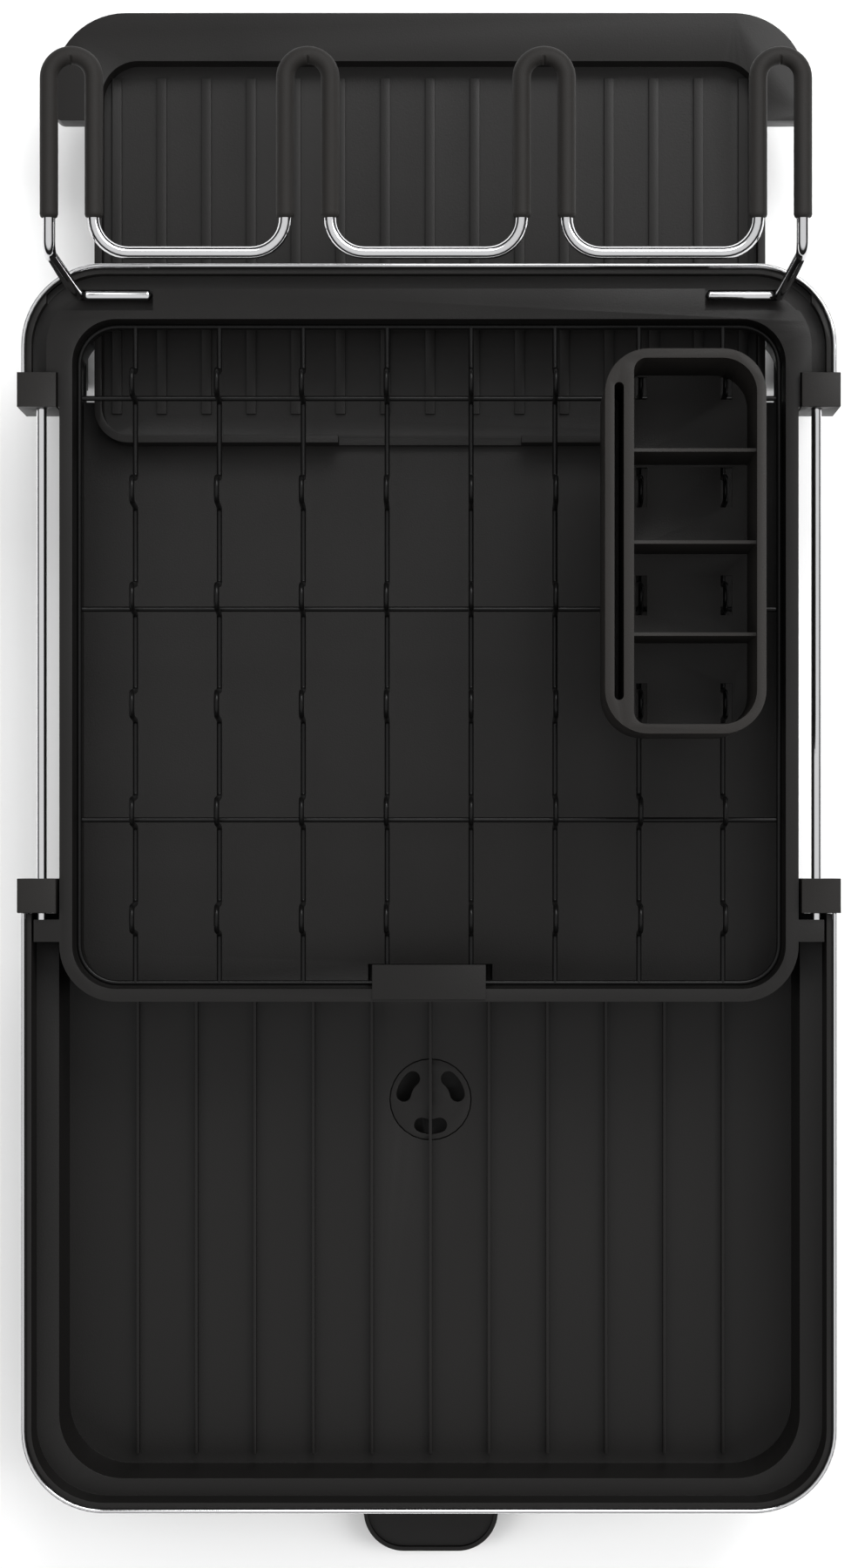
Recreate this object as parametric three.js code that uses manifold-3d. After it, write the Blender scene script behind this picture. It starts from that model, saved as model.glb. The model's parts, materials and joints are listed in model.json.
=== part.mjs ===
// Extending dish drying rack: a rear tub with its wire rack, a front tray that slides on two rods,
// a drip tray and wire hooks for cups behind, a cutlery holder, and a swivelling drain spout.
// Millimetres, +X right, +Y towards the cup hooks, +Z up, standing on z = 0.
import * as THREE from "three";
import { mergeVertices } from "three/addons/utils/BufferGeometryUtils.js";
import Module from "manifold-3d";

const wasm = await Module();
wasm.setup();

// ---- Driving dimensions -------------------------------------------------------------------------
const gap = 0.3; // between pieces that touch
const slidingGap = 1.0; // round pieces that slide past each other
const bandHalfWidth = 165; // overall half width, over the steel bands
const bandThickness = 1.0;
const bandHeight = 30;
const bandCornerRadius = 33;
const rimHeight = 84; // top of the steel bands
const rearEdge = 246; // rear face of the rear band
const frontEdge = -260; // front face of the front band
const plasticWall = 2.4;
const rimDrop = 2; // moulded rims stop this far under the top of a band
const gutterWidth = 6;
const gutterDrop = 6;

const tubInset = 15; // from the outside of the bands to the tub's sides
const tubHalfWidth = bandHalfWidth - tubInset;
const tubFront = -53;
const tubCornerRadius = 23;
const tubRimWidth = 5.2;
const rearRimWidth = 22;
const tubRearRim = rearEdge - rearRimWidth; // rear side of the tub's opening
const tubFloorTop = 36;
const tubFloorThickness = 2;
const drainNotchHalfWidth = 26;
const drainNotchDepth = 9;
const tabHalfWidth = 23;
const tabDepth = 15;
const tabThickness = 2.5;

const trayRearEnd = -3; // rear end of the front tray, drawn out
const trayFloorTop = 24;
const trayFloorThickness = 2;
const ledgeDrop = 20;
const trayLedgeTop = rimHeight - ledgeDrop;
const trayLedgeWidth = 7;
const trayLipHeight = 5;
const ribHeight = 4.5;
const ribThickness = 1.3;
const ribPitch = 24.6;
const ribsEachSide = 5;

const rodRadius = 2.1;
const rodInset = 7.5;
const rodHalfSpacing = bandHalfWidth - rodInset;
const rodDrop = 5;
const rodHeight = rimHeight - rodDrop;
const capDepth = 14; // end caps, along the rods
const capOverhang = 1.8;
const capHalfReach = bandHalfWidth + capOverhang;
const rearHalfLength = 58;
const rearCapFront = rearEdge - rearHalfLength; // front face of the rear end caps
const earDepth = 9;
const earHeight = 12;
const earGap = 2.7;

const footRadius = 7;
const footHeight = 4;
const footInset = 20;
const legWidth = 15;
const legDepth = 27;

const rackDrop = 8;
const rackHeight = rimHeight - rackDrop; // centre of the rack's wires
const wireRadius = 1.1;
const wirePitch = 34.17;
const wiresEachSide = 4;
const humpPitch = 43.3;
const humpCount = 6;
const humpRise = 19;
const humpWidth = 12;
const firstHump = rearEdge - 48.7;
const crossWirePitch = 85.9;
const crossWires = [0, 1, 2].map((n) => firstHump - 4.6 - n * crossWirePitch);
const rackInset = 1.0; // from the tub's opening to the outside of the edge wire

const dripInset = 11; // from the tub's sides
const dripHalfWidth = tubHalfWidth - dripInset;
const dripLap = 68.4; // length inside the rear edge
const dripFront = rearEdge - dripLap;
const dripNeckEnd = rearEdge + 65;
const dripLipDepth = 44.6;
const dripRear = dripNeckEnd + dripLipDepth;
const dripLipHalfWidth = bandHalfWidth - 9;
const dripLipRadius = 30;
const dripFloorTop = 39;
const dripRimTop = 50;
const dripWall = 2;
const dripRearMargin = 20;
const dripRibPitch = 18.65;
const dripRibsEachSide = 7;
const dripRibWidth = 4;
const dripRibHeight = 1.6;

const hookRadius = 2.4;
const hookHeight = 185;
const hookLoopInset = 16; // outer loops, in from the tub's sides
const hookLoopPitch = (2 * (tubHalfWidth - hookLoopInset)) / 3;
const hookLoopCentres = [-1.5, -0.5, 0.5, 1.5].map((n) => n * hookLoopPitch);
const hookLoopSpread = 17; // between the two legs of a loop
const hookBase = rearEdge - 12.5;
const hookReach = 75;
const hookTip = hookBase + hookReach;
const hookBend = 13;
const hookFootLength = 28;
const sleeveRadius = 3.6;
const sleeveEnd = hookBase + 14.5;

const holderWidth = 62.5;
const holderRight = tubHalfWidth - 18.5;
const holderLeft = holderRight - holderWidth;
const holderLength = 149.2;
const holderRear = rearEdge - 43.5;
const holderFront = holderRear - holderLength;
const holderTop = rimHeight + 66;
const holderFloorThickness = 2;
const holderCornerRadius = 17;
const holderWall = 3.6;
const holderDividers = [-1, 0, 1].map((n) => (holderRear + holderFront) / 2 + n * 35.8);
const dividerThickness = 1.3;
const dividerDrop = 5;
const knifeSlitWidth = 3.7;
const knifeWallWidth = 3.9;

const drainCentre = trayRearEnd - 93.2;
const drainRadius = 17;
const grateThickness = 2;
const drainSlotRadius = 11.5;
const drainSlotHalfWidth = 3;
const stemRadius = 3.4;
const spoutHalfWidth = 28.5;
const spoutEnd = frontEdge - 28.6;
const spoutBottom = 8;
const spoutTop = 20;
const spoutWall = 1.8;
const spoutCornerRadius = 17;

// ---- Solids -------------------------------------------------------------------------------------
function solid(geometry) {
  const bare = geometry.clone();
  bare.deleteAttribute("normal");
  bare.deleteAttribute("uv");
  const merged = mergeVertices(bare, 1e-4);
  const mesh = new wasm.Mesh({
    numProp: 3,
    vertProperties: new Float32Array(merged.attributes.position.array),
    triVerts: new Uint32Array(merged.index.array),
  });
  return new wasm.Manifold(mesh);
}

function geometryOf(manifold) {
  const mesh = manifold.getMesh();
  const geometry = new THREE.BufferGeometry();
  geometry.setAttribute("position", new THREE.BufferAttribute(new Float32Array(mesh.vertProperties), 3));
  geometry.setIndex(new THREE.BufferAttribute(new Uint32Array(mesh.triVerts), 1));
  geometry.computeVertexNormals();
  return geometry;
}

// Rectangle with its own radius at each corner: front left, front right, rear right, rear left.
function roundedRectangle(x0, y0, x1, y1, radii) {
  const [fl, fr, rr, rl] = Array.isArray(radii) ? radii : [radii, radii, radii, radii];
  const shape = new THREE.Shape();
  shape.moveTo(x0 + fl, y0);
  shape.lineTo(x1 - fr, y0);
  if (fr > 0) shape.absarc(x1 - fr, y0 + fr, fr, -Math.PI / 2, 0, false);
  shape.lineTo(x1, y1 - rr);
  if (rr > 0) shape.absarc(x1 - rr, y1 - rr, rr, 0, Math.PI / 2, false);
  shape.lineTo(x0 + rl, y1);
  if (rl > 0) shape.absarc(x0 + rl, y1 - rl, rl, Math.PI / 2, Math.PI, false);
  shape.lineTo(x0, y0 + fl);
  if (fl > 0) shape.absarc(x0 + fl, y0 + fl, fl, Math.PI, 1.5 * Math.PI, false);
  return shape;
}

function prism(shape, z0, z1, curveSegments = 7) {
  const geometry = new THREE.ExtrudeGeometry(shape, { depth: z1 - z0, bevelEnabled: false, curveSegments });
  return solid(geometry.translate(0, 0, z0));
}

function block(x0, x1, y0, y1, z0, z1) {
  const geometry = new THREE.BoxGeometry(x1 - x0, y1 - y0, z1 - z0);
  return solid(geometry.translate((x0 + x1) / 2, (y0 + y1) / 2, (z0 + z1) / 2));
}

function upright(radius, x, y, z0, z1, sides = 20) {
  const geometry = new THREE.CylinderGeometry(radius, radius, z1 - z0, sides).rotateX(Math.PI / 2);
  return solid(geometry.translate(x, y, (z0 + z1) / 2));
}

function alongY(radius, x, z, y0, y1, sides = 12) {
  const geometry = new THREE.CylinderGeometry(radius, radius, y1 - y0, sides);
  return solid(geometry.translate(x, (y0 + y1) / 2, z));
}

// A wire's centre line through given stations, with each section square to the bend at its station.
class StationCurve extends THREE.Curve {
  constructor(points) {
    super();
    this.points = points;
  }

  getPoint(t) {
    const index = Math.round(t * (this.points.length - 1));
    return this.points[index].clone();
  }

  getSpacedPoints() {
    return this.points.map((point) => point.clone());
  }

  getTangentAt(u) {
    const last = this.points.length - 1;
    const index = Math.round(u * last);
    const before = this.points[Math.max(index - 1, 0)];
    const here = this.points[index];
    const after = this.points[Math.min(index + 1, last)];
    const tangent = new THREE.Vector3();
    if (index > 0) tangent.add(here.clone().sub(before).normalize());
    if (index < last) tangent.add(after.clone().sub(here).normalize());
    return tangent.normalize();
  }
}

function circleShape(radius, sides) {
  const shape = new THREE.Shape();
  for (let i = 0; i < sides; i += 1) {
    const angle = ((i + 0.5) / sides) * 2 * Math.PI;
    const method = i === 0 ? "moveTo" : "lineTo";
    shape[method](radius * Math.cos(angle), radius * Math.sin(angle));
  }
  shape.closePath();
  return shape;
}

function tube(points, radius, sides, boreRadius = 0) {
  const section = circleShape(radius, sides);
  if (boreRadius > 0) section.holes.push(circleShape(boreRadius, sides));
  const path = new StationCurve(points);
  return solid(new THREE.ExtrudeGeometry(section, { extrudePath: path, steps: points.length - 1 }));
}

// Points of a corner turned at `at` with a given radius, between the two straight neighbours.
function roundedPath(corners, radii, steps = 4) {
  const points = [corners[0].clone()];
  for (let i = 1; i < corners.length - 1; i += 1) {
    const here = corners[i];
    const inward = corners[i - 1].clone().sub(here).normalize();
    const outward = corners[i + 1].clone().sub(here).normalize();
    const half = Math.acos(THREE.MathUtils.clamp(inward.dot(outward), -1, 1)) / 2;
    const radius = radii[i];
    const reach = radius / Math.tan(half);
    const centre = here.clone().add(inward.clone().add(outward).normalize().multiplyScalar(radius / Math.sin(half)));
    const from = here.clone().addScaledVector(inward, reach).sub(centre);
    const to = here.clone().addScaledVector(outward, reach).sub(centre);
    const sweep = from.angleTo(to);
    for (let k = 0; k <= steps; k += 1) {
      const t = k / steps;
      const a = Math.sin((1 - t) * sweep) / Math.sin(sweep);
      const b = Math.sin(t * sweep) / Math.sin(sweep);
      points.push(centre.clone().addScaledVector(from, a).addScaledVector(to, b));
    }
  }
  points.push(corners[corners.length - 1].clone());
  return points;
}

const joined = (solids) => solids.reduce((sum, next) => sum.add(next));
const v3 = (x, y, z) => new THREE.Vector3(x, y, z);
const sides = [["left", -1], ["right", 1]];
const mirrored = (side, a, b) => (side < 0 ? [-b, -a] : [a, b]);

// ---- Materials ----------------------------------------------------------------------------------
const blackPlastic = { color: 0x1c1a19, roughness: 0.55, metalness: 0 };
const steel = { color: 0xc9c9c9, roughness: 0.2, metalness: 1 };
const coatedWire = { color: 0x141313, roughness: 0.35, metalness: 0 };
const rubber = { color: 0x1a1918, roughness: 0.85, metalness: 0 };

const model = new THREE.Group();
function place(name, manifold, finish) {
  const mesh = new THREE.Mesh(geometryOf(manifold), new THREE.MeshStandardMaterial(finish));
  mesh.name = name;
  model.add(mesh);
}

// ---- Values that follow from the driving dimensions -----------------------------------------------
const shellHalfWidth = bandHalfWidth - bandThickness - gap;
const shellRear = rearEdge - bandThickness - gap;
const shellFront = frontEdge + bandThickness + gap;
const shellRadius = bandCornerRadius - bandThickness - gap;
const bandBottom = rimHeight - bandHeight;
const rimTop = rimHeight - rimDrop;
const openingHalfWidth = tubHalfWidth - tubRimWidth;
const openingRadius = tubCornerRadius - tubRimWidth;
const openingFront = tubFront + tubRimWidth;
const capRearY = rearCapFront + capDepth;
const trayCapFront = trayRearEnd - capDepth;
const earRear = trayCapFront - earGap;
const earFront = earRear - earDepth;
const footY = hookBase;
const footZ = rimTop - hookRadius + 0.6;

// ---- Rear tub -------------------------------------------------------------------------------------
function rearTub() {
  const deckTop = rimTop;
  const floorBottom = tubFloorTop - tubFloorThickness;
  const corner = tubCornerRadius;
  const basin = roundedRectangle(-tubHalfWidth, tubFront, tubHalfWidth, tubRearRim + tubRimWidth, corner);
  const shell = roundedRectangle(-shellHalfWidth, rearCapFront + gap, shellHalfWidth, shellRear,
    [0, 0, shellRadius, shellRadius]);
  const inset = plasticWall + gutterWidth;
  const gutterInner = roundedRectangle(-shellHalfWidth + inset, rearCapFront - 1, shellHalfWidth - inset,
    shellRear - inset, [0, 0, shellRadius - inset, shellRadius - inset]);
  const gutterOuter = roundedRectangle(-shellHalfWidth + plasticWall, capRearY, shellHalfWidth - plasticWall,
    shellRear - plasticWall, [0, 0, shellRadius - plasticWall, shellRadius - plasticWall]);
  const skirtInner = roundedRectangle(-shellHalfWidth + plasticWall, rearCapFront - 1,
    shellHalfWidth - plasticWall, shellRear - plasticWall,
    [0, 0, shellRadius - plasticWall, shellRadius - plasticWall]);
  const deckBottom = deckTop - gutterDrop - plasticWall;

  let body = prism(basin, floorBottom, deckTop).add(prism(shell, bandBottom, deckTop));
  body = body.subtract(prism(skirtInner, bandBottom - 1, deckBottom)
    .subtract(prism(basin, floorBottom, deckTop)));
  body = body.subtract(prism(gutterOuter, deckTop - gutterDrop, deckTop + 1)
    .subtract(prism(gutterInner, 0, rimHeight + 1)));

  const opening = roundedRectangle(-openingHalfWidth, openingFront, openingHalfWidth, tubRearRim, openingRadius);
  body = body.subtract(prism(opening, tubFloorTop, rimHeight + 5));

  // Slot for the drip tray through the rear wall, and the floor cut away beneath it.
  const slotHalf = dripHalfWidth + slidingGap;
  body = body.subtract(block(-slotHalf, slotHalf, tubRearRim - openingRadius, rearEdge + 2, 0,
    dripRimTop + 2 * slidingGap));
  const cutHalf = openingHalfWidth - 1;
  body = body.subtract(block(-cutHalf, cutHalf, rearCapFront + 8, tubRearRim + 10, 0, tubFloorTop + 0.5));

  // Way out for water at the front, under the thumb tab.
  body = body.subtract(block(-drainNotchHalfWidth, drainNotchHalfWidth, openingFront,
    openingFront + drainNotchDepth, floorBottom - 1, tubFloorTop + 1));
  body = body.add(block(-tabHalfWidth, tabHalfWidth, tubFront + 1, tubFront + tabDepth,
    rimTop - tabThickness, rimTop + 1));

  for (const [, side] of sides) {
    // Recess for the foot of the cup hooks.
    const [r0, r1] = mirrored(side, tubHalfWidth - 38, shellHalfWidth - plasticWall - gutterWidth);
    body = body.subtract(block(r0, r1, footY - 6, footY + 6, rimTop - 5.4, rimHeight + 5));
    // Rear leg, with a flat for its rubber foot.
    const [l0, l1] = mirrored(side, shellHalfWidth - plasticWall - legWidth, shellHalfWidth - 1);
    const leg = block(l0, l1, capRearY + 3, capRearY + 3 + legDepth, footHeight + gap, deckBottom + 1);
    body = body.add(leg.intersect(prism(shell, 0, deckTop)));
    // Room for the end cap that the rod is held in.
    const [c0, c1] = mirrored(side, tubHalfWidth + 0.6, capHalfReach + 5);
    body = body.subtract(block(c0, c1, rearCapFront - 2, capRearY + gap, 0, rimHeight + 5));
    // Ear for the front end of the rod.
    const [e0, e1] = mirrored(side, openingHalfWidth + 1, rodHalfSpacing + rodRadius + 0.8);
    body = body.add(block(e0, e1, earFront, earRear, rimTop - earHeight, rimTop));
    body = body.subtract(alongY(rodRadius + gap, side * rodHalfSpacing, rodHeight, earFront + 3, earRear + 1));
  }
  return body;
}
place("rear_tub", rearTub(), blackPlastic);

// ---- Steel bands and end caps -----------------------------------------------------------------------
function band(y0, y1, radii, openY0, openY1) {
  const outer = roundedRectangle(-bandHalfWidth, y0, bandHalfWidth, y1, radii);
  const inner = roundedRectangle(-bandHalfWidth + bandThickness, y0 + bandThickness,
    bandHalfWidth - bandThickness, y1 - bandThickness, radii.map((r) => Math.max(r - bandThickness, 0)));
  const ring = prism(outer, bandBottom, rimHeight).subtract(prism(inner, bandBottom - 1, rimHeight + 1));
  return ring.subtract(block(-bandHalfWidth - 1, bandHalfWidth + 1, openY0, openY1, bandBottom - 2, rimHeight + 2));
}
const bandLap = 4; // length of band end held in an end cap
const rearBandEnd = capRearY - bandLap;
const frontBandEnd = trayCapFront + bandLap;
place("rear_band", band(rearBandEnd - 20, rearEdge, [0, 0, bandCornerRadius, bandCornerRadius],
  rearBandEnd - 21, rearBandEnd), steel);
place("front_band", band(frontEdge, frontBandEnd + 20, [bandCornerRadius, bandCornerRadius, 0, 0],
  frontBandEnd, frontBandEnd + 21), steel);

function endCap(side, y0, y1, bandSide, innerReach) {
  const [x0, x1] = mirrored(side, innerReach, capHalfReach);
  let cap = block(x0, x1, y0, y1, bandBottom - 1, rimHeight + 1.5);
  const [s0, s1] = mirrored(side, bandHalfWidth - bandThickness - gap, bandHalfWidth + gap);
  const slot0 = bandSide > 0 ? y1 - bandLap - gap : y0 - 1;
  const slot1 = bandSide > 0 ? y1 + 1 : y0 + bandLap + gap;
  cap = cap.subtract(block(s0, s1, slot0, slot1, bandBottom - gap, rimHeight + gap));
  return cap;
}
for (const [name, side] of sides) {
  const rodX = side * rodHalfSpacing;
  const rearBlind = rearCapFront + 8;
  const rear = endCap(side, rearCapFront, capRearY, 1, tubHalfWidth + 1)
    .subtract(alongY(rodRadius + gap, rodX, rodHeight, rearCapFront - 1, rearBlind));
  place(`rear_end_cap_${name}`, rear, blackPlastic);
  const front = endCap(side, trayCapFront, trayRearEnd, -1, tubHalfWidth + 1)
    .subtract(alongY(rodRadius + gap, rodX, rodHeight, trayCapFront - 1, trayRearEnd + 1));
  place(`tray_end_cap_${name}`, front, blackPlastic);
  place(`slide_rod_${name}`, alongY(rodRadius, rodX, rodHeight, earFront + 3 + gap, rearBlind - gap, 12), steel);
}

// ---- Front tray -------------------------------------------------------------------------------------
const wellHalfWidth = tubHalfWidth + 2;
const wellFront = shellFront + plasticWall + trayLedgeWidth;
const wellRadius = shellRadius - plasticWall - trayLedgeWidth + 4;
function frontTray() {
  const floorBottom = trayFloorTop - trayFloorThickness;
  const rearY = trayRearEnd;
  const open = [0, 0];
  const outer = roundedRectangle(-shellHalfWidth, shellFront, shellHalfWidth, rearY,
    [shellRadius, shellRadius, ...open]);
  const upper = roundedRectangle(-shellHalfWidth + plasticWall, shellFront + plasticWall,
    shellHalfWidth - plasticWall, rearY + 1, [shellRadius - plasticWall, shellRadius - plasticWall, ...open]);
  const wellOuter = roundedRectangle(-wellHalfWidth - plasticWall, wellFront - plasticWall,
    wellHalfWidth + plasticWall, rearY, [wellRadius + plasticWall, wellRadius + plasticWall, ...open]);
  const well = roundedRectangle(-wellHalfWidth, wellFront, wellHalfWidth, rearY + 1,
    [wellRadius, wellRadius, ...open]);
  let body = prism(outer, bandBottom, rimTop).add(prism(wellOuter, floorBottom, trayLedgeTop));
  body = body.subtract(prism(upper, trayLedgeTop, rimHeight + 5));
  body = body.subtract(prism(upper, bandBottom - 1, trayLedgeTop - plasticWall)
    .subtract(prism(wellOuter, 0, trayLedgeTop)));
  body = body.subtract(prism(well, trayFloorTop, rimHeight + 5));
  body = body.add(block(-wellHalfWidth - 1, wellHalfWidth + 1, rearY - plasticWall, rearY,
    floorBottom, trayFloorTop + trayLipHeight));
  for (let k = -ribsEachSide; k <= ribsEachSide; k += 1) {
    const x = k * ribPitch;
    body = body.add(block(x - ribThickness / 2, x + ribThickness / 2, wellFront + 4.5, rearY - 1,
      trayFloorTop - 0.5, trayFloorTop + ribHeight));
  }
  // Drain hole; the middle rib bridges it. A collar under it keeps the drip inside the spout.
  const hole = upright(drainRadius + gap, 0, drainCentre, 0, trayFloorTop + 0.4, 28);
  const collarBottom = spoutTop - 6;
  body = body.add(upright(drainRadius + plasticWall, 0, drainCentre, collarBottom, floorBottom + 1, 28));
  const seatRadius = drainRadius - 2;
  body = body.subtract(hole.intersect(block(-30, 30, drainCentre - 30, drainCentre + 30,
    trayFloorTop - grateThickness - gap, trayFloorTop + 2)));
  body = body.subtract(upright(seatRadius, 0, drainCentre, 0, trayFloorTop + 0.1, 28));
  for (const [, side] of sides) {
    const footX = side * (bandHalfWidth - footInset);
    const rearLegTop = trayFloorTop - 1;
    body = body.add(upright(footRadius, footX, frontEdge + footInset, footHeight + gap, trayLedgeTop - 1, 16)
      .subtract(prism(well, trayFloorTop, rimHeight)));
    body = body.add(upright(footRadius, footX, rearY - footRadius - 6, footHeight + gap, rearLegTop, 16));
    // Room for the end cap.
    const [c0, c1] = mirrored(side, tubHalfWidth + 1 - gap, capHalfReach + 5);
    body = body.subtract(block(c0, c1, trayCapFront - gap, rearY + 5, bandBottom - 1 - gap, rimHeight + 5));
  }
  return body;
}
place("front_tray", frontTray(), blackPlastic);

// ---- Drain grate and spout ----------------------------------------------------------------------------
function kidney(angle) {
  const shape = new THREE.Shape();
  const reach = 0.34;
  const outer = drainSlotRadius + drainSlotHalfWidth;
  const inner = drainSlotRadius - drainSlotHalfWidth;
  const endX = (a) => drainSlotRadius * Math.cos(a);
  const endY = (a) => drainSlotRadius * Math.sin(a);
  const a0 = angle - reach;
  const a1 = angle + reach;
  shape.absarc(0, 0, outer, a0, a1, false);
  shape.absarc(endX(a1), endY(a1), drainSlotHalfWidth, a1, a1 + Math.PI, false);
  shape.absarc(0, 0, inner, a1, a0, true);
  shape.absarc(endX(a0), endY(a0), drainSlotHalfWidth, a0 + Math.PI, a0 + 2 * Math.PI, false);
  return shape;
}
const spoutFloorTop = spoutBottom + spoutWall;
function drainGrate() {
  const top = trayFloorTop - 0.2;
  let grate = upright(drainRadius, 0, drainCentre, top - grateThickness + gap, top, 28);
  for (const turn of [-0.5, 1 / 6, 5 / 6]) {
    const slot = prism(kidney(turn * Math.PI), 0, 40, 4).translate([0, drainCentre, 0]);
    grate = grate.subtract(slot);
  }
  grate = grate.add(upright(stemRadius, 0, drainCentre, spoutBottom - 1.6, top - 0.5, 14));
  return grate.add(upright(stemRadius + 1.4, 0, drainCentre, spoutBottom - 2, spoutBottom - 0.5, 14));
}
place("drain_grate", drainGrate(), blackPlastic);

function drainSpout() {
  const hubEnd = drainCentre + spoutHalfWidth;
  const radii = [spoutCornerRadius, spoutCornerRadius, spoutHalfWidth, spoutHalfWidth];
  const outline = roundedRectangle(-spoutHalfWidth, spoutEnd, spoutHalfWidth, hubEnd, radii);
  const channel = roundedRectangle(-spoutHalfWidth + spoutWall, spoutEnd + spoutWall,
    spoutHalfWidth - spoutWall, hubEnd - spoutWall, radii.map((r) => r - spoutWall));
  const trough = prism(outline, spoutBottom, spoutTop, 8).subtract(prism(channel, spoutFloorTop, spoutTop + 1, 8));
  const lipCut = block(-spoutHalfWidth - 1, spoutHalfWidth + 1, spoutEnd - 1, spoutEnd + spoutCornerRadius,
    spoutFloorTop + 2.5, spoutTop + 1);
  return trough.subtract(lipCut).subtract(upright(stemRadius + 0.4, 0, drainCentre, 0, spoutTop, 14));
}
place("drain_spout", drainSpout(), blackPlastic);

// ---- Rubber feet ----------------------------------------------------------------------------------------
for (const [name, side] of sides) {
  const footX = side * (bandHalfWidth - footInset);
  const rearX = side * (shellHalfWidth - plasticWall - legWidth / 2);
  place(`tray_front_foot_${name}`, upright(footRadius, footX, frontEdge + footInset, 0, footHeight, 16), rubber);
  place(`tray_rear_foot_${name}`, upright(footRadius, footX, trayRearEnd - footRadius - 6, 0, footHeight, 16),
    rubber);
  place(`tub_foot_${name}`, upright(footRadius, rearX, capRearY + 3 + legDepth / 2, 0, footHeight, 16), rubber);
}

// ---- Wire rack --------------------------------------------------------------------------------------------
function wireRack() {
  const half = openingHalfWidth - rackInset - wireRadius;
  const front = openingFront + rackInset + wireRadius;
  const rear = tubRearRim - rackInset - wireRadius;
  const radius = openingRadius - rackInset - wireRadius;
  const ring = (side) => {
    const corners = [v3(0, front, rackHeight), v3(side * half, front, rackHeight),
      v3(side * half, rear, rackHeight), v3(0, rear, rackHeight)];
    corners[0].x = -side * 2;
    corners[3].x = -side * 2;
    // The two halves differ a little in thickness, so their faces cross cleanly where they lap.
    return tube(roundedPath(corners, [0, radius, radius, 0], 5), side < 0 ? 0.94 * wireRadius : wireRadius, 6);
  };
  const wires = [ring(-1), ring(1)];
  for (const y of crossWires) {
    const ends = [v3(-half - 0.2, y, rackHeight - 1.55 * wireRadius), v3(half + 0.2, y, rackHeight - 1.55 * wireRadius)];
    wires.push(tube(ends, wireRadius, 6));
  }
  for (let k = 0; k < 2 * wiresEachSide; k += 1) {
    const x = (k - wiresEachSide + 0.5) * wirePitch;
    const points = [v3(x, rear + 0.2, rackHeight)];
    for (let n = 0; n < humpCount; n += 1) {
      const y = firstHump - n * humpPitch;
      const foot = humpWidth / 2;
      const top = rackHeight + humpRise - wireRadius;
      points.push(v3(x, y + foot, rackHeight), v3(x, y + foot - 1.2, top - 3), v3(x, y + 2, top));
      points.push(v3(x, y - 2, top), v3(x, y - foot + 1.2, top - 3), v3(x, y - foot, rackHeight));
    }
    points.push(v3(x, front - 0.2, rackHeight));
    wires.push(tube(points, wireRadius, 6));
  }
  return joined(wires);
}
place("wire_rack", wireRack(), coatedWire);

// ---- Drip tray ------------------------------------------------------------------------------------------------
function dripTray() {
  const floorBottom = dripFloorTop - dripWall;
  const body = roundedRectangle(-dripHalfWidth, dripFront, dripHalfWidth, dripRear - 4, [14, 14, 20, 20]);
  const lip = roundedRectangle(-dripLipHalfWidth, dripNeckEnd, dripLipHalfWidth, dripRear,
    [4, 4, dripLipRadius, dripLipRadius]);
  const lipInner = roundedRectangle(-dripLipHalfWidth + dripWall, dripNeckEnd + dripWall,
    dripLipHalfWidth - dripWall, dripRear - dripWall, [2, 2, dripLipRadius - dripWall, dripLipRadius - dripWall]);
  const well = roundedRectangle(-dripHalfWidth + 3, dripFront + 3, dripHalfWidth - 3, dripRear - dripRearMargin,
    [12, 12, 15, 15]);
  let tray = prism(body, floorBottom, dripRimTop).add(prism(lip, floorBottom, dripRimTop));
  tray = tray.subtract(prism(lipInner, 0, dripRimTop - dripWall).subtract(prism(body, 0, rimHeight)));
  tray = tray.subtract(prism(well, dripFloorTop, rimHeight));
  for (let k = -dripRibsEachSide; k <= dripRibsEachSide; k += 1) {
    const x = k * dripRibPitch;
    tray = tray.add(block(x - dripRibWidth / 2, x + dripRibWidth / 2, dripFront + 13,
      dripRear - dripRearMargin - 5, dripFloorTop - 0.5, dripFloorTop + dripRibHeight));
  }
  return tray.subtract(block(-38, 38, dripFront - 1, dripFront + 4, dripFloorTop + 0.8, rimHeight));
}
place("drip_tray", dripTray(), blackPlastic);

// ---- Cup hooks ----------------------------------------------------------------------------------------------------
function hookPath() {
  const outer = hookLoopCentres.map((x) => [x - hookLoopSpread / 2, x + hookLoopSpread / 2]).flat();
  const first = outer[0];
  const last = outer[outer.length - 1];
  const corners = [v3(first + hookFootLength, footY, footZ), v3(first, footY, footZ), v3(first, footY, hookHeight)];
  const radii = [0, 4.5, 5];
  outer.forEach((x, i) => {
    if (i % 2 === 0) {
      corners.push(v3(x, hookTip, hookHeight));
      radii.push(hookLoopSpread / 2 - 0.01);
      return;
    }
    corners.push(v3(x, hookTip, hookHeight));
    radii.push(hookLoopSpread / 2 - 0.01);
    if (i === outer.length - 1) return;
    corners.push(v3(x, hookBase, hookHeight), v3(outer[i + 1], hookBase, hookHeight));
    radii.push(hookBend, hookBend);
  });
  corners.push(v3(last, footY, hookHeight), v3(last, footY, footZ), v3(last - hookFootLength, footY, footZ));
  radii.push(5, 4.5, 0);
  return roundedPath(corners, radii, 4);
}
place("cup_hooks", tube(hookPath(), hookRadius, 8), steel);

hookLoopCentres.forEach((x, i) => {
  const half = hookLoopSpread / 2;
  const corners = [v3(x - half, sleeveEnd, hookHeight), v3(x - half, hookTip, hookHeight),
    v3(x + half, hookTip, hookHeight), v3(x + half, sleeveEnd, hookHeight)];
  const path = roundedPath(corners, [0, half - 0.01, half - 0.01, 0], 4);
  place(`hook_sleeve_${i + 1}`, tube(path, sleeveRadius, 10, hookRadius + 0.35), rubber);
});

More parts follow.
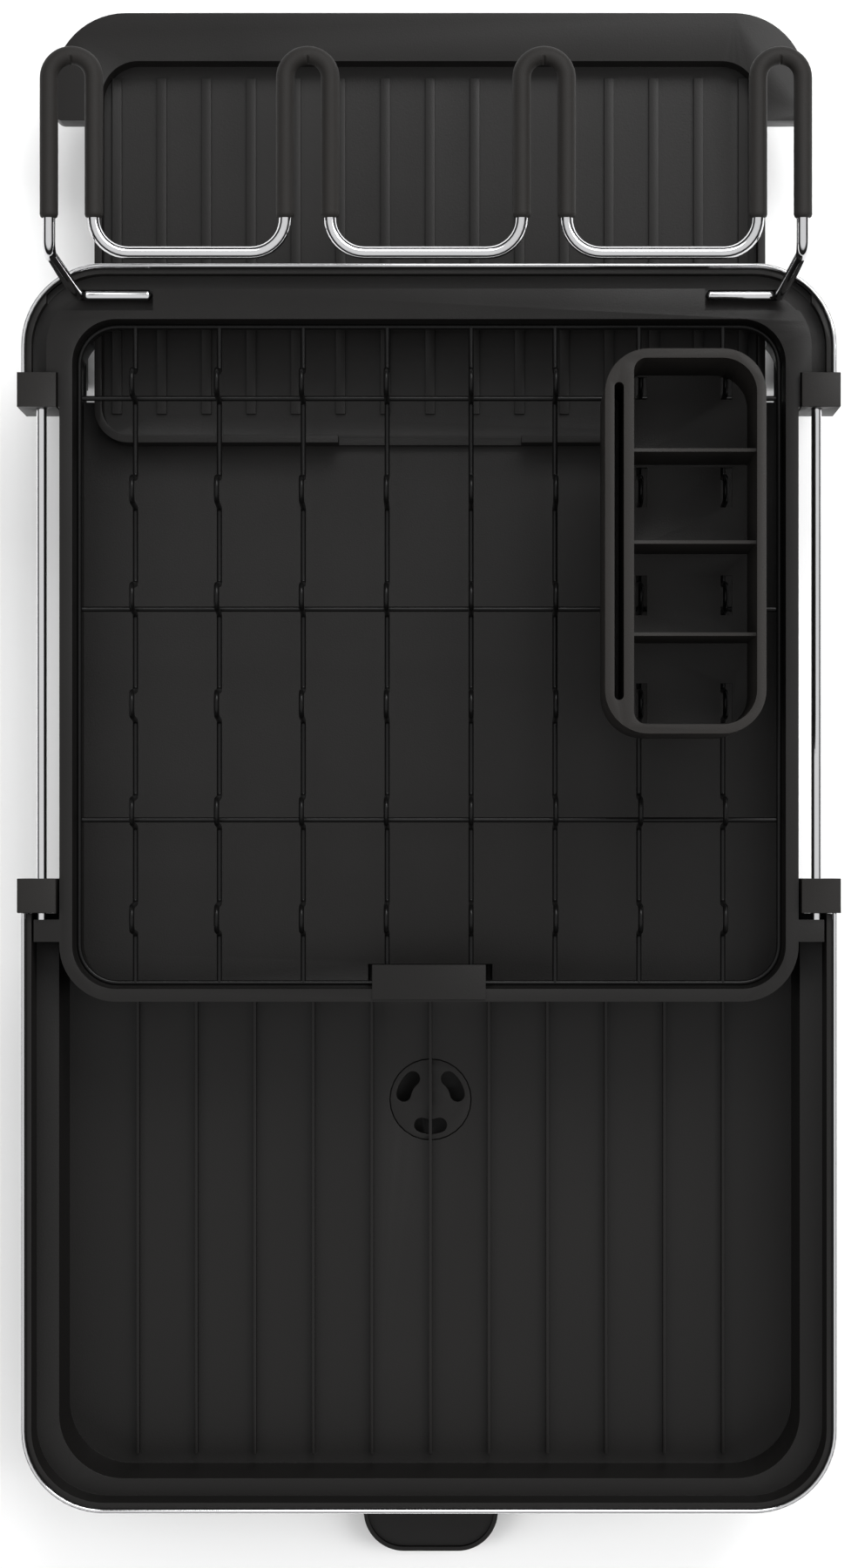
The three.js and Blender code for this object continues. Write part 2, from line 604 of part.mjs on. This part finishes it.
// ---- Cutlery holder -----------------------------------------------------------------------------------------------
function cutleryHolder() {
  const bottom = rackHeight + humpRise + 0.5;
  const floorTop = bottom + holderFloorThickness;
  const outline = roundedRectangle(holderLeft, holderFront, holderRight, holderRear, holderCornerRadius);
  const slit0 = holderLeft + holderWall;
  const slit1 = slit0 + knifeSlitWidth;
  const room0 = slit1 + knifeWallWidth;
  const room = roundedRectangle(room0, holderFront + holderWall, holderRight - holderWall,
    holderRear - holderWall, [5, 13.4, 13.4, 5]);
  const slit = roundedRectangle(slit0, holderFront + 13, slit1, holderRear - 13, knifeSlitWidth / 2 - 0.01);
  let holder = prism(outline, bottom, holderTop).subtract(prism(room, floorTop, holderTop + 1));
  holder = holder.subtract(prism(slit, floorTop, holderTop + 1, 3));
  for (const y of holderDividers) {
    holder = holder.add(block(room0 - 1, holderRight - 2, y - dividerThickness / 2, y + dividerThickness / 2,
      bottom, holderTop - dividerDrop));
  }
  const wireXs = [2.5 * wirePitch, 3.5 * wirePitch];
  for (const x of wireXs) {
    for (let n = 0; n < 4; n += 1) {
      const y = firstHump - n * humpPitch;
      const y0 = Math.max(y - 8, holderFront + holderWall + 0.5);
      const y1 = Math.min(y + 8, holderRear - holderWall - 0.5);
      holder = holder.subtract(block(Math.max(x - 2.3, room0 + 0.3), x + 2.3, y0, y1, bottom - 1, floorTop + 0.5));
    }
  }
  return holder;
}
place("cutlery_holder", cutleryHolder(), blackPlastic);

// The origin is under the middle of the whole rack, at the height it stands on.
const wholeLength = new THREE.Group();
wholeLength.add(model);
model.position.y = -(dripRear + spoutEnd) / 2;

export default wholeLength;
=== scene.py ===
"""Looks of the extending dish drying rack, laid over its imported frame. Metres, +Z up."""

import json

import bmesh
import bpy
import numpy as np
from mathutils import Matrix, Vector


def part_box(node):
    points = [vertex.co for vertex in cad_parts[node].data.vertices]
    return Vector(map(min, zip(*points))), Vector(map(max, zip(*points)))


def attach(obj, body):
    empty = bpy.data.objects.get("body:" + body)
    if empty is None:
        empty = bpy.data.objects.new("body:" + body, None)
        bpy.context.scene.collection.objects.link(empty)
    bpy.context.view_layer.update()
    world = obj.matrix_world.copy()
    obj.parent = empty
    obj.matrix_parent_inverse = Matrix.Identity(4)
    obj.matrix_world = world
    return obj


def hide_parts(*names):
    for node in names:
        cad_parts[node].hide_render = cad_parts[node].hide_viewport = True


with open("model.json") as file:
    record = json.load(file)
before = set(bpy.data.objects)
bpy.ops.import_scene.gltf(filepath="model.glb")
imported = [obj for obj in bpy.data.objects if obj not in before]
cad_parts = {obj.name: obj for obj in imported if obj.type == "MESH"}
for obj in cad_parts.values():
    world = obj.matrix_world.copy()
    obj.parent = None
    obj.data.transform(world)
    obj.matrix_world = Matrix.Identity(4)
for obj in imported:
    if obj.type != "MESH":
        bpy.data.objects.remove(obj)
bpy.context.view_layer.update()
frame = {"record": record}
MM = 0.001


# ---- Effects shared by the finishes --------------------------------------------------------------
def effect_group(name, inputs, outputs):
    """A shader node group with named float inputs and outputs, and its two end nodes."""
    group = bpy.data.node_groups.new(name, "ShaderNodeTree")
    for socket, kind, value in inputs:
        item = group.interface.new_socket(name=socket, in_out="INPUT", socket_type=kind)
        if value is not None:
            item.default_value = value
    for socket, kind in outputs:
        group.interface.new_socket(name=socket, in_out="OUTPUT", socket_type=kind)
    start = group.nodes.new("NodeGroupInput")
    end = group.nodes.new("NodeGroupOutput")
    return group, start, end


def moulded_grain():
    """Fine spark-eroded grain over slow mottling: noise at two sizes, scaled to colour, gloss and height."""
    group, start, end = effect_group(
        "moulded_grain",
        [("Colour", "NodeSocketColor", (0.02, 0.02, 0.02, 1)), ("Roughness", "NodeSocketFloat", 0.5),
         ("Fine Scale", "NodeSocketFloat", 1800.0), ("Variation", "NodeSocketFloat", 0.2)],
        [("Colour", "NodeSocketColor"), ("Roughness", "NodeSocketFloat"), ("Height", "NodeSocketFloat")])
    nodes, links = group.nodes, group.links
    place = nodes.new("ShaderNodeTexCoord")
    fine = nodes.new("ShaderNodeTexNoise")
    fine.inputs["Detail"].default_value = 3
    slow = nodes.new("ShaderNodeTexNoise")
    slow.inputs["Scale"].default_value = 14
    slow.inputs["Detail"].default_value = 4
    links.new(place.outputs["Object"], fine.inputs["Vector"])
    links.new(place.outputs["Object"], slow.inputs["Vector"])
    links.new(start.outputs["Fine Scale"], fine.inputs["Scale"])
    centred = nodes.new("ShaderNodeMath")
    centred.operation = "SUBTRACT"
    centred.inputs[1].default_value = 0.5
    links.new(slow.outputs["Fac"], centred.inputs[0])
    amount = nodes.new("ShaderNodeMath")
    amount.operation = "MULTIPLY"
    links.new(centred.outputs[0], amount.inputs[0])
    links.new(start.outputs["Variation"], amount.inputs[1])
    gloss = nodes.new("ShaderNodeMath")
    gloss.operation = "ADD"
    links.new(amount.outputs[0], gloss.inputs[0])
    links.new(start.outputs["Roughness"], gloss.inputs[1])
    lift = nodes.new("ShaderNodeMath")
    lift.operation = "MULTIPLY_ADD"
    lift.inputs[1].default_value = 1.6
    lift.inputs[2].default_value = 1.0
    links.new(amount.outputs[0], lift.inputs[0])
    tone = nodes.new("ShaderNodeVectorMath")
    tone.operation = "SCALE"
    links.new(start.outputs["Colour"], tone.inputs[0])
    links.new(lift.outputs[0], tone.inputs["Scale"])
    links.new(tone.outputs[0], end.inputs["Colour"])
    links.new(gloss.outputs[0], end.inputs["Roughness"])
    links.new(fine.outputs["Fac"], end.inputs["Height"])
    return group


GRAIN = moulded_grain()


def finish(name, colour, roughness, fine_scale, variation, bump, metallic=0.0, coat=0.0, sheen=0.5):
    """A finish: the grain group feeding colour, gloss and bump of one Principled shader."""
    material = bpy.data.materials.new(name)
    material.use_nodes = True
    nodes, links = material.node_tree.nodes, material.node_tree.links
    shader = nodes["Principled BSDF"]
    shader.inputs["Metallic"].default_value = metallic
    shader.inputs["Coat Weight"].default_value = coat
    shader.inputs["Coat Roughness"].default_value = 0.25
    shader.inputs["Specular IOR Level"].default_value = sheen
    grain = nodes.new("ShaderNodeGroup")
    grain.node_tree = GRAIN
    grain.inputs["Colour"].default_value = (*colour, 1)
    grain.inputs["Roughness"].default_value = roughness
    grain.inputs["Fine Scale"].default_value = fine_scale
    grain.inputs["Variation"].default_value = variation
    height = nodes.new("ShaderNodeBump")
    height.inputs["Strength"].default_value = bump
    height.inputs["Distance"].default_value = 0.0002
    links.new(grain.outputs["Colour"], shader.inputs["Base Color"])
    links.new(grain.outputs["Roughness"], shader.inputs["Roughness"])
    links.new(grain.outputs["Height"], height.inputs["Height"])
    links.new(height.outputs["Normal"], shader.inputs["Normal"])
    return material


TRAY_PLASTIC = finish("satin_black_tray", (0.0068, 0.0063, 0.0060), 0.40, 1500, 0.25, 0.2, sheen=0.2)
CAP_PLASTIC = finish("satin_black_caps", (0.0100, 0.0092, 0.0086), 0.46, 1900, 0.2, 0.25, sheen=0.22)
HOLDER_PLASTIC = finish("warm_black_holder", (0.0135, 0.0122, 0.0112), 0.46, 1700, 0.2, 0.25, sheen=0.22)
POLISHED_STEEL = finish("polished_steel", (0.60, 0.60, 0.61), 0.08, 900, 0.10, 0.04, metallic=1.0)
COATED_WIRE = finish("glossy_wire_coat", (0.0035, 0.0034, 0.0034), 0.30, 700, 0.2, 0.25, sheen=0.16)
SOFT_RUBBER = finish("soft_rubber", (0.0125, 0.0115, 0.0107), 0.66, 2200, 0.2, 0.45, sheen=0.22)


# ---- Making pieces -------------------------------------------------------------------------------
def piece_from_arrays(name, vertices, quads, material, smooth=True):
    mesh = bpy.data.meshes.new(name)
    mesh.from_pydata(np.asarray(vertices, float).tolist(), [], [list(map(int, q)) for q in quads])
    mesh.update()
    mesh.shade_smooth() if smooth else mesh.shade_flat()
    mesh.materials.append(material)
    piece = bpy.data.objects.new(name, mesh)
    bpy.context.scene.collection.objects.link(piece)
    return piece


def tube_arrays(path, radius, sides=14, offset=0, dome=True):
    """A round wire: circle of `radius` square to the path at each of its points, with domed ends.
    The frame is carried along by removing from the last side vector its part along the new tangent."""
    path = np.asarray(path, float)
    tangent = np.gradient(path, axis=0)
    tangent /= np.linalg.norm(tangent, axis=1)[:, None]
    side = np.empty_like(path)
    start = np.array([0.0, 0.0, 1.0]) if abs(tangent[0, 2]) < 0.9 else np.array([1.0, 0.0, 0.0])
    for i, along in enumerate(tangent):
        start = start - along * np.dot(start, along)
        start /= np.linalg.norm(start)
        side[i] = start
    third = np.cross(tangent, side)
    radii = np.full(len(path), radius)
    if dome:
        reach = np.array([0.0, 0.55, 0.85])
        shrink = np.sqrt(1 - (1 - reach) ** 2) * 0.999 + 0.02
        head = path[0] - tangent[0] * radius * (1 - reach)[:, None]
        tail = path[-1] + tangent[-1] * radius * (1 - reach[::-1])[:, None]
        path = np.vstack([head, path, tail])
        side = np.vstack([np.repeat(side[:1], 3, 0), side, np.repeat(side[-1:], 3, 0)])
        third = np.vstack([np.repeat(third[:1], 3, 0), third, np.repeat(third[-1:], 3, 0)])
        radii = np.concatenate([radius * shrink, radii, radius * shrink[::-1]])
    angle = np.linspace(0, 2 * np.pi, sides, endpoint=False)
    ring = np.cos(angle)[None, :, None] * side[:, None, :] + np.sin(angle)[None, :, None] * third[:, None, :]
    points = (path[:, None, :] + ring * radii[:, None, None]).reshape(-1, 3)
    rows = len(path)
    i, j = np.meshgrid(np.arange(rows - 1), np.arange(sides), indexing="ij")
    a = i * sides + j
    b = i * sides + (j + 1) % sides
    quads = np.stack([a, b, b + sides, a + sides], axis=-1).reshape(-1, 4) + offset
    faces = [list(q) for q in quads]
    faces.append([offset + k for k in range(sides)][::-1])
    faces.append([offset + (rows - 1) * sides + k for k in range(sides)])
    return points, faces


def wires_piece(name, paths, material, sides=14):
    """Several tubes in one piece; `paths` is a list of (points, radius)."""
    points, faces = [], []
    for path, radius in paths:
        p, f = tube_arrays(path, radius, sides, offset=sum(len(q) for q in points))
        points.append(p)
        faces.extend(f)
    piece = piece_from_arrays(name, np.vstack(points), faces, material)
    facing_out(piece)
    return piece


def facing_out(piece):
    work = bmesh.new()
    work.from_mesh(piece.data)
    bmesh.ops.recalc_face_normals(work, faces=work.faces)
    work.to_mesh(piece.data)
    work.free()


def turned_path(corners, radii, steps=10):
    """Straight runs with round corners: each arc runs from leg to leg about the corner's centre."""
    corners = [np.asarray(c, float) for c in corners]
    points = [corners[0]]
    for before, here, after, radius in zip(corners, corners[1:], corners[2:], radii):
        inward = (before - here) / np.linalg.norm(before - here)
        outward = (after - here) / np.linalg.norm(after - here)
        half = np.arccos(np.clip(np.dot(inward, outward), -1, 1)) / 2
        bisector = (inward + outward) / np.linalg.norm(inward + outward)
        centre = here + bisector * radius / np.sin(half)
        start = here + inward * radius / np.tan(half) - centre
        end = here + outward * radius / np.tan(half) - centre
        sweep = np.arccos(np.clip(np.dot(start, end) / np.dot(start, start), -1, 1))
        t = np.linspace(0, 1, steps + 1)[:, None]
        points.extend(centre + (np.sin((1 - t) * sweep) * start + np.sin(t * sweep) * end) / np.sin(sweep))
    points.append(corners[-1])
    return np.array(points)


def rounded_copy(node, width, material, segments=3):
    """The node's own shape, welded, its flat faces joined up, and its edges rounded by a bevel."""
    source = bpy.data.objects[node]
    mesh = source.data.copy()
    mesh.name = node + "_rounded"
    work = bmesh.new()
    work.from_mesh(mesh)
    bmesh.ops.remove_doubles(work, verts=work.verts, dist=2e-5)
    bmesh.ops.dissolve_limit(work, angle_limit=0.02, verts=work.verts, edges=work.edges)
    work.to_mesh(mesh)
    work.free()
    mesh.materials.clear()
    mesh.materials.append(material)
    mesh.shade_smooth()
    piece = bpy.data.objects.new(node + "_rounded", mesh)
    bpy.context.scene.collection.objects.link(piece)
    bevel = piece.modifiers.new("rounded_edges", "BEVEL")
    bevel.width = width
    bevel.segments = segments
    bevel.limit_method = "ANGLE"
    bevel.angle_limit = np.radians(35)
    bevel.use_clamp_overlap = True
    bevel.harden_normals = True
    return piece


BODY_OF = {node: body for body, nodes in frame["record"]["behaviour"]["bodies"].items() for node in nodes}


def stand_for(piece, *nodes):
    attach(piece, BODY_OF[nodes[0]])
    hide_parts(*nodes)


# ---- Plastic pieces ------------------------------------------------------------------------------
ROUNDED = {
    "rear_tub": (0.8, TRAY_PLASTIC), "front_tray": (0.8, TRAY_PLASTIC), "drip_tray": (0.8, TRAY_PLASTIC),
    "rear_end_cap_left": (0.9, CAP_PLASTIC), "rear_end_cap_right": (0.9, CAP_PLASTIC),
    "tray_end_cap_left": (0.9, CAP_PLASTIC), "tray_end_cap_right": (0.9, CAP_PLASTIC),
    "cutlery_holder": (0.7, HOLDER_PLASTIC), "drain_grate": (0.3, TRAY_PLASTIC),
    "drain_spout": (0.6, TRAY_PLASTIC),
    "rear_band": (0.25, POLISHED_STEEL), "front_band": (0.25, POLISHED_STEEL),
}
for node, (width_mm, material) in ROUNDED.items():
    stand_for(rounded_copy(node, width_mm * MM, material), node)

# ---- Rolled top edge of each steel band ----------------------------------------------------------
def rolled_hem(node, toward_rear):
    """A round bead along the band's top edge: a straight, a quarter turn, the long edge, and back again."""
    low, high = (np.array(corner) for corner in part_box(node))
    bead = 1.0 * MM
    half_wall = 0.5 * MM
    x, z = high[0] - half_wall, high[2] - bead
    hidden = 3 * MM
    if toward_rear:
        end, far = low[1] + hidden, high[1] - half_wall
    else:
        end, far = high[1] - hidden, low[1] + half_wall
    corners = [(-x, end, z), (-x, far, z), (x, far, z), (x, end, z)]
    hem = wires_piece(node + "_hem", [(turned_path(corners, [32.5 * MM] * 2, 16), bead)], POLISHED_STEEL, 12)
    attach(hem, BODY_OF[node])


rolled_hem("rear_band", True)
rolled_hem("front_band", False)

# ---- Slide rods ----------------------------------------------------------------------------------
for side in ("left", "right"):
    node = f"slide_rod_{side}"
    low, high = (np.array(corner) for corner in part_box(node))
    middle = (low + high) / 2
    radius = (high[0] - low[0]) / 2
    ends = [[middle[0], low[1] + radius, middle[2]], [middle[0], middle[1], middle[2]],
            [middle[0], high[1] - radius, middle[2]]]
    stand_for(wires_piece(node + "_round", [(ends, radius)], POLISHED_STEEL, 24), node)

# ---- Rubber feet ---------------------------------------------------------------------------------
def foot_pad(node):
    """A turned pad: a profile with rounded rims, carried round the pad's axis."""
    low, high = (np.array(corner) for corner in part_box(node))
    radius, height = (high[0] - low[0]) / 2, high[2] - low[2]
    rim = 0.6 * MM
    arc = np.linspace(0, np.pi / 2, 5)
    outline = [(0.001 * MM, 0)] + [(radius - rim + rim * np.sin(a), rim - rim * np.cos(a)) for a in arc]
    outline += [(radius - rim + rim * np.cos(a), height - rim + rim * np.sin(a)) for a in arc]
    outline += [(0.001 * MM, height)]
    outline = np.array(outline)
    turn = np.linspace(0, 2 * np.pi, 32, endpoint=False)
    centre = (low + high) / 2
    x = centre[0] + outline[:, 0][:, None] * np.cos(turn)
    y = centre[1] + outline[:, 0][:, None] * np.sin(turn)
    z = np.repeat(low[2] + outline[:, 1][:, None], len(turn), 1)
    points = np.stack([x, y, z], -1).reshape(-1, 3)
    i, j = np.meshgrid(np.arange(len(outline) - 1), np.arange(len(turn)), indexing="ij")
    a = i * len(turn) + j
    b = i * len(turn) + (j + 1) % len(turn)
    quads = np.stack([a, b, b + len(turn), a + len(turn)], -1).reshape(-1, 4)
    piece = piece_from_arrays(node + "_turned", points, quads, SOFT_RUBBER)
    work = bmesh.new()
    work.from_mesh(piece.data)
    bmesh.ops.remove_doubles(work, verts=work.verts, dist=1e-5)
    bmesh.ops.recalc_face_normals(work, faces=work.faces)
    work.to_mesh(piece.data)
    work.free()
    stand_for(piece, node)


for node in [n for n in BODY_OF if "foot" in n]:
    foot_pad(node)

# ---- Wire rack -----------------------------------------------------------------------------------
low, high = (np.array(corner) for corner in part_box("wire_rack"))
WIRE = 1.1 * MM
LEVEL = 0.076
EDGE_X = high[0] - WIRE - 0.2 * MM
EDGE_Y = (low[1] + WIRE + 0.2 * MM, high[1] - WIRE - 0.2 * MM)
EDGE_RADIUS = 15.7 * MM
PITCH = 34.17 * MM
HUMP_PITCH = 43.3 * MM
FIRST_HUMP = 163.8 * MM
HUMP_HALF = 6 * MM
HUMP_TOP = high[2] - WIRE
CROSS = np.array([159.2, 73.3, -12.6]) * MM


def edge_wire():
    x, (y0, y1) = EDGE_X, EDGE_Y
    lap = 0.1 * MM
    corners = [(0, y0, LEVEL), (x, y0, LEVEL), (x, y1, LEVEL), (-x, y1, LEVEL), (-x, y0, LEVEL),
               (lap, y0, LEVEL)]
    return turned_path(corners, [EDGE_RADIUS] * 4)


def plate_wire(x):
    """One long wire: flat runs with tall round-topped humps, every corner turned on a small radius."""
    corners, radii = [(x, EDGE_Y[1], LEVEL)], []
    for n in range(6):
        y = FIRST_HUMP - n * HUMP_PITCH
        corners += [(x, y + HUMP_HALF, LEVEL), (x, y + HUMP_HALF - 1.2 * MM, HUMP_TOP),
                    (x, y - HUMP_HALF + 1.2 * MM, HUMP_TOP), (x, y - HUMP_HALF, LEVEL)]
        radii += [2 * MM, 4.2 * MM, 4.2 * MM, 2 * MM]
    corners.append((x, EDGE_Y[0], LEVEL))
    return turned_path(corners, radii, 6)


rack_paths = [(edge_wire(), WIRE)]
rack_paths += [(plate_wire((k - 3.5) * PITCH), WIRE) for k in range(8)]
rack_paths += [(np.linspace((-EDGE_X, y, LEVEL - 1.55 * WIRE), (EDGE_X, y, LEVEL - 1.55 * WIRE), 5), WIRE)
               for y in CROSS]
stand_for(wires_piece("wire_rack_round", rack_paths, COATED_WIRE, 10), "wire_rack")

# ---- Cup hooks and their sleeves -----------------------------------------------------------------
low, high = (np.array(corner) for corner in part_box("cup_hooks"))
HOOK = 2.4 * MM
HOOK_Z = high[2] - HOOK
HOOK_TIP = high[1] - HOOK
BASE_Y = low[1] + HOOK
FOOT_Z = low[2] + HOOK
OUTER_LOOP = 134 * MM
LOOPS = np.linspace(-OUTER_LOOP, OUTER_LOOP, 4)
HALF_LOOP = 8.5 * MM
TURN = HALF_LOOP * 0.999  # just under half the loop's width, so that the two turns of a loop don't meet
SLEEVE = 3.5 * MM
SLEEVE_END = 0.8 * MM


def hook_wire():
    """The whole bent wire: foot, post, then loop, bay, loop, bay, loop, bay, loop, post and foot."""
    first, last = LOOPS[0] - HALF_LOOP, LOOPS[-1] + HALF_LOOP
    foot = 28 * MM
    corners = [(first + foot, BASE_Y, FOOT_Z), (first, BASE_Y, FOOT_Z), (first, BASE_Y, HOOK_Z)]
    radii = [4.5 * MM, 5 * MM]
    for i, centre in enumerate(LOOPS):
        corners += [(centre - HALF_LOOP, HOOK_TIP, HOOK_Z), (centre + HALF_LOOP, HOOK_TIP, HOOK_Z)]
        radii += [TURN, TURN]
        if i < len(LOOPS) - 1:
            corners += [(centre + HALF_LOOP, BASE_Y, HOOK_Z), (LOOPS[i + 1] - HALF_LOOP, BASE_Y, HOOK_Z)]
            radii += [13 * MM, 13 * MM]
    corners += [(last, BASE_Y, HOOK_Z), (last, BASE_Y, FOOT_Z), (last - foot, BASE_Y, FOOT_Z)]
    radii += [5 * MM, 4.5 * MM]
    return turned_path(corners, radii)


stand_for(wires_piece("cup_hooks_round", [(hook_wire(), HOOK)], POLISHED_STEEL, 20), "cup_hooks")

for i, centre in enumerate(LOOPS):
    node = f"hook_sleeve_{i + 1}"
    low, high = (np.array(corner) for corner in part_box(node))
    corners = [(centre - HALF_LOOP, low[1] + SLEEVE_END, HOOK_Z), (centre - HALF_LOOP, HOOK_TIP, HOOK_Z),
               (centre + HALF_LOOP, HOOK_TIP, HOOK_Z), (centre + HALF_LOOP, low[1] + SLEEVE_END, HOOK_Z)]
    sleeve = wires_piece(node + "_round", [(turned_path(corners, [TURN, TURN]), SLEEVE)], SOFT_RUBBER, 20)
    stand_for(sleeve, node)

# ---- Floor, light and camera ---------------------------------------------------------------------
def stage_floor():
    size = 4.0
    corners = [(-size, -size, 0), (size, -size, 0), (size, size, 0), (-size, size, 0)]
    floor = piece_from_arrays("pale_floor", corners,
                              [(0, 1, 2, 3)], bpy.data.materials.new("pale_floor"), smooth=False)
    paint = floor.data.materials[0]
    paint.use_nodes = True
    paint.node_tree.nodes["Principled BSDF"].inputs["Base Color"].default_value = (0.92, 0.92, 0.92, 1)
    paint.node_tree.nodes["Principled BSDF"].inputs["Roughness"].default_value = 0.9


def soft_light(name, place, aim, size, power, mirrored=True):
    lamp = bpy.data.lights.new(name, "AREA")
    lamp.shape = "RECTANGLE"
    lamp.size, lamp.size_y = size
    lamp.energy = power
    holder = bpy.data.objects.new(name, lamp)
    holder.location = place
    holder.visible_glossy = mirrored
    holder.rotation_euler = (Vector(aim) - Vector(place)).to_track_quat("-Z", "Y").to_euler()
    bpy.context.scene.collection.objects.link(holder)


stage_floor()
soft_light("soft_box_back", (0.5, 1.3, 1.6), (0, 0, 0.05), (1.6, 0.9), 34)
soft_light("soft_box_right", (1.6, -0.2, 1.3), (0, 0, 0.05), (0.8, 1.8), 22, mirrored=False)
soft_light("soft_box_left", (-1.5, -0.4, 1.5), (0, 0, 0.05), (0.7, 1.6), 14, mirrored=False)

world = bpy.data.worlds.new("pale_room")
world.use_nodes = True
room = world.node_tree
room_height = room.nodes.new("ShaderNodeTexCoord")
room_axes = room.nodes.new("ShaderNodeSeparateXYZ")
room_tones = room.nodes.new("ShaderNodeValToRGB")
room_tones.color_ramp.elements[0].position = 0.0
room_tones.color_ramp.elements[0].color = (0.01, 0.01, 0.01, 1)
room_tones.color_ramp.elements[1].position = 0.72
room_tones.color_ramp.elements[1].color = (1, 1, 1, 1)
middle_tone = room_tones.color_ramp.elements.new(0.45)
middle_tone.color = (0.03, 0.03, 0.03, 1)
room.links.new(room_height.outputs["Generated"], room_axes.inputs["Vector"])
room.links.new(room_axes.outputs["Z"], room_tones.inputs["Fac"])
room.links.new(room_tones.outputs["Color"], room.nodes["Background"].inputs["Color"])
room.nodes["Background"].inputs["Strength"].default_value = 1.0
bpy.context.scene.world = world
bpy.context.scene.view_settings.view_transform = "Standard"

# How far the view is shifted from the lens axis, as shares of the frame's taller side.
FRAME_SHIFT = (-0.0263889, 0.0555556)
eye = bpy.data.cameras.new("view_from_above")
eye.sensor_fit = "VERTICAL"
eye.sensor_height = 36
eye.lens = 85
eye.shift_x = FRAME_SHIFT[0]
eye.shift_y = FRAME_SHIFT[1]
camera = bpy.data.objects.new("view_from_above", eye)
camera.location = (0.0168, -0.0335, 1.584)
bpy.context.scene.collection.objects.link(camera)
bpy.context.scene.camera = camera

bpy.context.view_layer.update()
